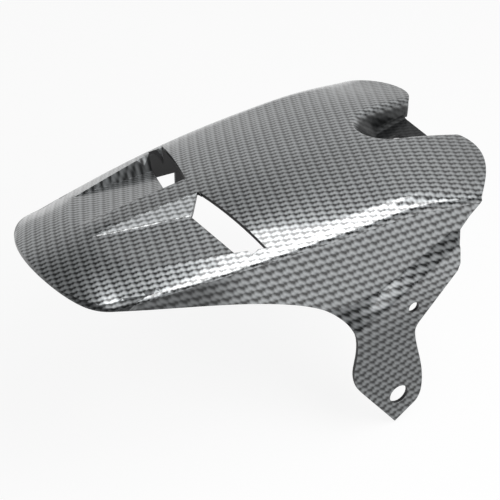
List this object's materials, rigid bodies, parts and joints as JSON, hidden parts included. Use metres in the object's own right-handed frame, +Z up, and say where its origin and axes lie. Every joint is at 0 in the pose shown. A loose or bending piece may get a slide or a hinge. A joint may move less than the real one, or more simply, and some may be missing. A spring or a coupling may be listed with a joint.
{
  "type": "rear hugger mudguard",
  "caption": "Rear hugger mudguard: an arched moulded shell with swept vent windows, a pocketed front tab between two horns, and a stepped bracket plate with fixing holes on its right flank.",
  "frame": {"origin": "centre of the front tab's hole on the tab's upper face", "axes": "+X to the front of the bike, along the shell; +Y to the bike's left; +Z up, along the tab's hole"},
  "size_m": [0.332, 0.1828, 0.1986],
  "materials": {
    "shell": "carbon-weave print under a clear gloss coat on the outside, plain black inside"
  },
  "bodies": {
    "root": {"hugger_shell": "shell"}
  },
  "joints": []
}
